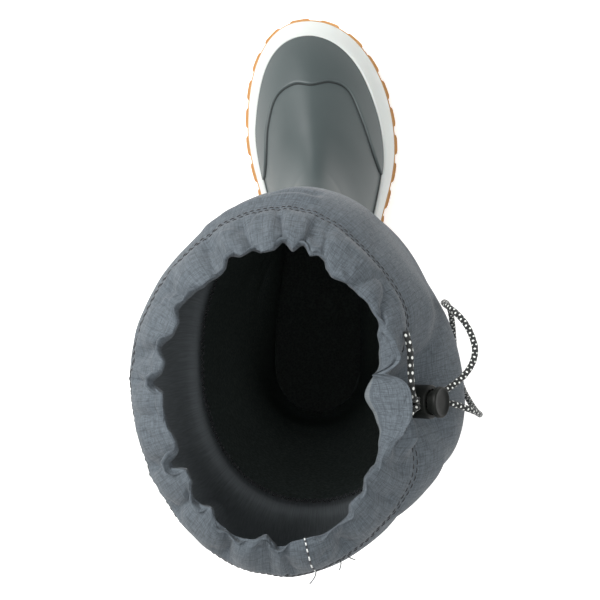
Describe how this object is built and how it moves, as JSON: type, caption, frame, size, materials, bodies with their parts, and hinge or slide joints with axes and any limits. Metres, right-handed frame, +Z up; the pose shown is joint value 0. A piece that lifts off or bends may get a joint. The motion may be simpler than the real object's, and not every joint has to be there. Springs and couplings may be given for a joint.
{
  "type": "rubber boot",
  "caption": "Right rubber boot with a gum lug outsole, an off-white foxing band, a hollow rubber upper and a gathered fabric cuff with a drawcord and cord lock.",
  "frame": {"origin": "on the floor under the middle of the boot's box, measured without the loose loop of cord", "axes": "+Z up from the floor, +Y from heel to toe, +X towards the outer side of the right foot"},
  "size_m": [0.14, 0.2948, 0.383],
  "materials": {
    "gum": "satin gum rubber",
    "foxing": "satin off-white rubber",
    "rubber": "satin grey-green rubber",
    "insole": "matt foam and knit",
    "fabric": "slate woven ripstop",
    "cord": "braided elastic, black with white flecks",
    "lock": "moulded, fine texture"
  },
  "bodies": {
    "boot": {"upper": "rubber", "foxing": "foxing", "insole": "insole", "toe_cap": "rubber", "outsole": "gum", "cuff": "fabric", "lock_body": "lock", "drawcord_run_front": "cord", "drawcord_run_rear": "cord", "drawcord_loop": "cord"},
    "plunger": {"lock_button": "lock"}
  },
  "joints": [
    {"name": "lock_press", "type": "slide", "parent": "boot", "child": "plunger", "axis": [-0.8201, -0.05, -0.5701], "range_m": [0, 0.0018], "stiffness_N_per_m": 250, "springref_m": -0.004}
  ]
}
